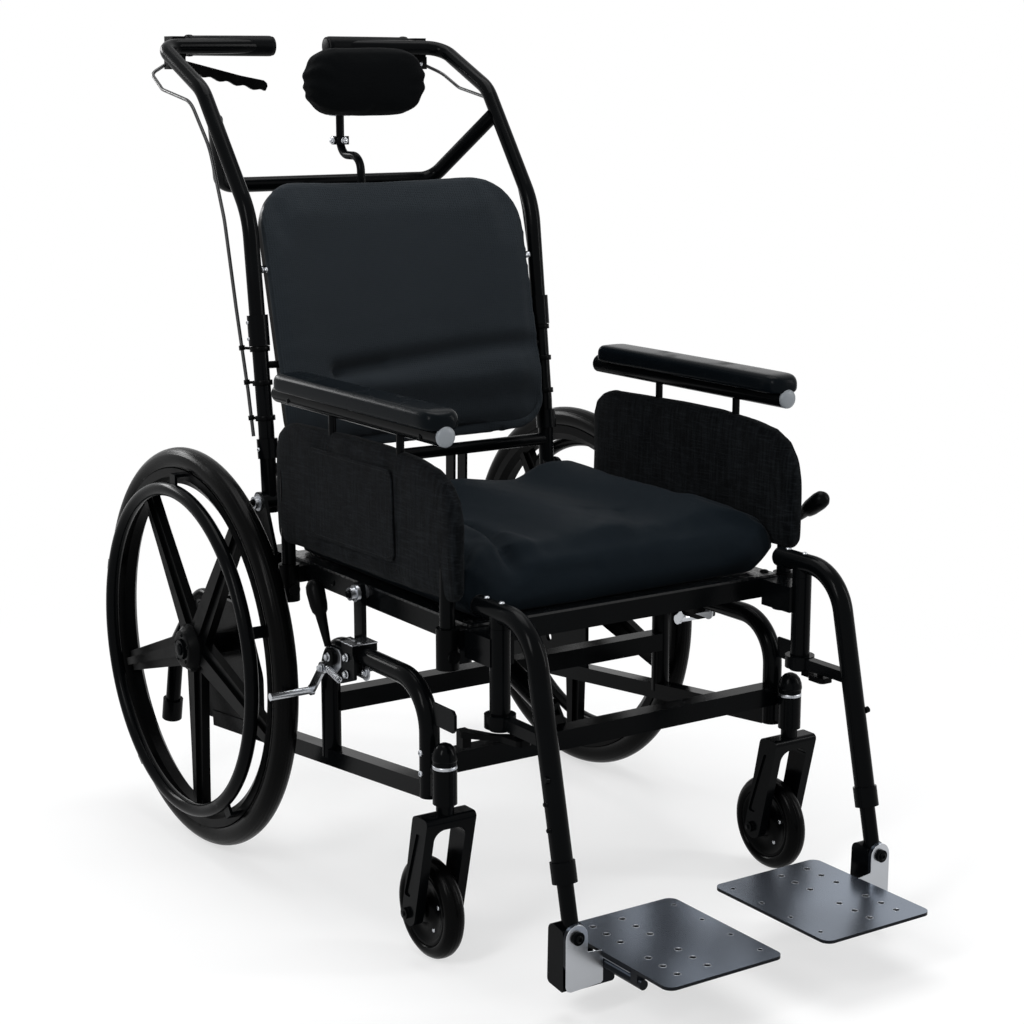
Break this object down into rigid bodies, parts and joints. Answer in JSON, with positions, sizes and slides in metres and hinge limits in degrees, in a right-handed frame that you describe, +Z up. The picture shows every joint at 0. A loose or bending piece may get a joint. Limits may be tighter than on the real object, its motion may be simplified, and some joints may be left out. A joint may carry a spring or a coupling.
{
  "type": "tilt in space wheelchair",
  "caption": "Manual tilt-in-space wheelchair with moulded spoked wheels, swivel casters, foam side panels, height-adjustable arms, headrest and swing-away drilled footplates.",
  "frame": {"origin": "bottom centre of the chair's bounding box, on the floor", "axes": "X to the occupant's left, -Y to the front, Z up"},
  "size_m": [0.727, 1.199, 1.116],
  "materials": {
    "black_frame": "gloss powder coat",
    "black_plastic": "fine moulded texture",
    "tyre_rubber": "smooth black tyre",
    "grip_rubber": "soft matt grip",
    "bright_steel": "bright plated steel",
    "black_fabric": "woven upholstery",
    "stretch_cover": "smooth stretch cover",
    "pad_skin": "self-skinned foam",
    "anodised_plate": "dark anodised, satin",
    "plain_steel": "satin steel",
    "cable_sheath": "black cable sheath"
  },
  "bodies": {
    "base": {"base_arches": "black_frame", "base_rails": "black_frame", "caster_housings": "black_frame", "axle_plates": "black_frame", "wheel_axles": "plain_steel", "tilt_posts": "black_frame", "anti_tippers": "black_frame", "lock_brackets": "black_frame"},
    "seat": {"seat_frame": "black_frame", "seat_pan": "black_plastic", "seat_cushion": "stretch_cover", "arm_sockets": "black_frame", "arm_frames": "plain_steel", "side_panels": "black_fabric", "hanger_posts": "black_frame", "back_brackets": "black_frame", "pivot_bolts": "plain_steel"},
    "back": {"back_canes": "black_frame", "push_crossbar": "black_frame", "back_crossbar": "black_frame", "back_shell": "black_plastic", "back_cushion": "black_fabric", "handgrips": "grip_rubber", "lever_housings": "black_plastic", "release_cables": "cable_sheath", "headrest_receiver": "black_frame"},
    "headrest_stem_body": {"headrest_stem": "bright_steel"},
    "headrest": {"headrest_pad": "stretch_cover"},
    "tilt_spring_body": {"tilt_cylinder": "black_frame"},
    "tilt_spring_rod": {"tilt_rod": "bright_steel"},
    "recline_spring_body": {"recline_cylinder": "black_frame"},
    "recline_spring_rod": {"recline_rod": "bright_steel"},
    "wheel_left": {"tyre_left": "tyre_rubber", "mag_wheel_left": "black_plastic", "handrim_left": "black_frame"},
    "caster_left": {"caster_fork_left": "black_plastic"},
    "caster_roll_left": {"caster_wheel_left": "tyre_rubber"},
    "armrest_left": {"arm_rail_left": "black_frame", "armpad_left": "pad_skin"},
    "hanger_left": {"hanger_tube_left": "black_frame"},
    "latch_left": {"hanger_latch_left": "black_plastic"},
    "extension_left": {"extension_tube_left": "black_frame"},
    "footplate_body_left": {"footplate_left": "anodised_plate"},
    "hand_lever_left": {"release_lever_left": "black_plastic"},
    "lock_lever_left": {"wheel_lock_lever_left": "black_plastic"},
    "lock_shoe_left": {"wheel_lock_shoe_left": "bright_steel"},
    "wheel_right": {"tyre_right": "tyre_rubber", "mag_wheel_right": "black_plastic", "handrim_right": "black_frame"},
    "caster_right": {"caster_fork_right": "black_plastic"},
    "caster_roll_right": {"caster_wheel_right": "tyre_rubber"},
    "armrest_right": {"arm_rail_right": "black_frame", "armpad_right": "pad_skin"},
    "hanger_right": {"hanger_tube_right": "black_frame"},
    "latch_right": {"hanger_latch_right": "black_plastic"},
    "extension_right": {"extension_tube_right": "black_frame"},
    "footplate_body_right": {"footplate_right": "anodised_plate"},
    "hand_lever_right": {"release_lever_right": "black_plastic"},
    "lock_lever_right": {"wheel_lock_lever_right": "black_plastic"},
    "lock_shoe_right": {"wheel_lock_shoe_right": "bright_steel"}
  },
  "joints": [
    {"name": "tilt", "type": "hinge", "parent": "base", "child": "seat", "pos_m": [0, -0.0115, 0.414], "axis": [-1, 0, 0], "range_deg": [0, 30]},
    {"name": "recline", "type": "hinge", "parent": "seat", "child": "back", "pos_m": [0, 0.2645, 0.485], "axis": [-1, 0, 0], "range_deg": [0, 30]},
    {"name": "headrest_height", "type": "slide", "parent": "back", "child": "headrest_stem_body", "axis": [0, 0, 1], "range_m": [-0.03, 0.05]},
    {"name": "headrest_nod", "type": "hinge", "parent": "headrest_stem_body", "child": "headrest", "pos_m": [0, 0.4645, 1.01], "axis": [1, 0, 0], "range_deg": [-20, 20]},
    {"name": "tilt_spring_swing", "type": "hinge", "parent": "base", "child": "tilt_spring_body", "pos_m": [-0.075, -0.1855, 0.275], "axis": [-1, 0, 0], "range_deg": [-1, 11]},
    {"name": "tilt_spring_stroke", "type": "slide", "parent": "tilt_spring_body", "child": "tilt_spring_rod", "axis": [0, 0.9424, 0.3345], "range_m": [-0.06, 0.002]},
    {"name": "recline_spring_swing", "type": "hinge", "parent": "seat", "child": "recline_spring_body", "pos_m": [0.075, -0.1055, 0.36], "axis": [1, 0, 0], "range_deg": [-1, 5]},
    {"name": "recline_spring_stroke", "type": "slide", "parent": "recline_spring_body", "child": "recline_spring_rod", "axis": [0, 0.9996, 0.0267], "range_m": [-0.06, 0.002]},
    {"name": "wheel_spin_left", "type": "hinge", "parent": "base", "child": "wheel_left", "pos_m": [0.324, 0.3145, 0.2795], "axis": [1, 0, 0], "continuous": true},
    {"name": "caster_swivel_left", "type": "hinge", "parent": "base", "child": "caster_left", "pos_m": [0.271, -0.2525, 0.195], "axis": [0, 0, 1], "continuous": true},
    {"name": "caster_spin_left", "type": "hinge", "parent": "caster_left", "child": "caster_roll_left", "pos_m": [0.271, -0.2195, 0.064], "axis": [1, 0, 0], "continuous": true},
    {"name": "armrest_height_left", "type": "slide", "parent": "seat", "child": "armrest_left", "axis": [0, 0, 1], "range_m": [0, 0.06]},
    {"name": "hanger_swing_left", "type": "hinge", "parent": "seat", "child": "hanger_left", "pos_m": [0.232, -0.3135, 0.4], "axis": [0, 0, 1], "range_deg": [0, 90]},
    {"name": "latch_turn_left", "type": "hinge", "parent": "hanger_left", "child": "latch_left", "pos_m": [0.232, -0.3535, 0.305], "axis": [0, 0, -1], "range_deg": [0, 15], "stiffness_Nm_per_rad": 0.5, "springref_deg": -11.46},
    {"name": "leg_length_left", "type": "slide", "parent": "hanger_left", "child": "extension_left", "axis": [0, -0.225, -0.9744], "range_m": [-0.04, 0.025]},
    {"name": "footplate_flip_left", "type": "hinge", "parent": "extension_left", "child": "footplate_body_left", "pos_m": [0.233, -0.4705, 0.104], "axis": [0, 1, 0], "range_deg": [0, 90]},
    {"name": "lever_squeeze_left", "type": "hinge", "parent": "back", "child": "hand_lever_left", "pos_m": [0.204, 0.5855, 1.076], "axis": [0, 1, 0], "range_deg": [0, 8], "stiffness_Nm_per_rad": 1.2, "springref_deg": -14.32},
    {"name": "wheel_spin_right", "type": "hinge", "parent": "base", "child": "wheel_right", "pos_m": [-0.324, 0.3145, 0.2795], "axis": [1, 0, 0], "continuous": true},
    {"name": "caster_swivel_right", "type": "hinge", "parent": "base", "child": "caster_right", "pos_m": [-0.271, -0.2525, 0.195], "axis": [0, 0, 1], "continuous": true},
    {"name": "caster_spin_right", "type": "hinge", "parent": "caster_right", "child": "caster_roll_right", "pos_m": [-0.271, -0.2195, 0.064], "axis": [1, 0, 0], "continuous": true},
    {"name": "armrest_height_right", "type": "slide", "parent": "seat", "child": "armrest_right", "axis": [0, 0, 1], "range_m": [0, 0.06]},
    {"name": "hanger_swing_right", "type": "hinge", "parent": "seat", "child": "hanger_right", "pos_m": [-0.232, -0.3135, 0.4], "axis": [0, 0, -1], "range_deg": [0, 90]},
    {"name": "latch_turn_right", "type": "hinge", "parent": "hanger_right", "child": "latch_right", "pos_m": [-0.232, -0.3535, 0.305], "axis": [0, 0, 1], "range_deg": [0, 15], "stiffness_Nm_per_rad": 0.5, "springref_deg": -11.46},
    {"name": "leg_length_right", "type": "slide", "parent": "hanger_right", "child": "extension_right", "axis": [0, -0.225, -0.9744], "range_m": [-0.04, 0.025]},
    {"name": "footplate_flip_right", "type": "hinge", "parent": "extension_right", "child": "footplate_body_right", "pos_m": [-0.233, -0.4705, 0.104], "axis": [0, -1, 0], "range_deg": [0, 90]},
    {"name": "lever_squeeze_right", "type": "hinge", "parent": "back", "child": "hand_lever_right", "pos_m": [-0.204, 0.5855, 1.076], "axis": [0, -1, 0], "range_deg": [0, 8], "stiffness_Nm_per_rad": 1.2, "springref_deg": -14.32},
    {"name": "lock_turn_right", "type": "hinge", "parent": "base", "child": "lock_lever_right", "pos_m": [-0.295, -0.0175, 0.338], "axis": [1, 0, 0], "range_deg": [0, 34]},
    {"name": "shoe_turn_right", "type": "hinge", "parent": "base", "child": "lock_shoe_right", "pos_m": [-0.301, -0.0075, 0.322], "axis": [1, 0, 0], "range_deg": [0, 9]},
    {"name": "lock_turn_left", "type": "hinge", "parent": "base", "child": "lock_lever_left", "pos_m": [0.295, -0.0175, 0.338], "axis": [-1, 0, 0], "range_deg": [0, 34]},
    {"name": "shoe_turn_left", "type": "hinge", "parent": "base", "child": "lock_shoe_left", "pos_m": [0.301, -0.0075, 0.322], "axis": [-1, 0, 0], "range_deg": [0, 9]}
  ],
  "couplings": [
    {"joint": "tilt_spring_stroke", "follows": "tilt", "m_per_rad": -0.090178},
    {"joint": "tilt_spring_swing", "follows": "tilt", "ratio": 0.31263},
    {"joint": "recline_spring_stroke", "follows": "recline", "m_per_rad": -0.10944},
    {"joint": "recline_spring_swing", "follows": "recline", "ratio": 0.090174},
    {"joint": "shoe_turn_right", "follows": "lock_turn_right", "ratio": 0.25},
    {"joint": "shoe_turn_left", "follows": "lock_turn_left", "ratio": 0.25}
  ]
}
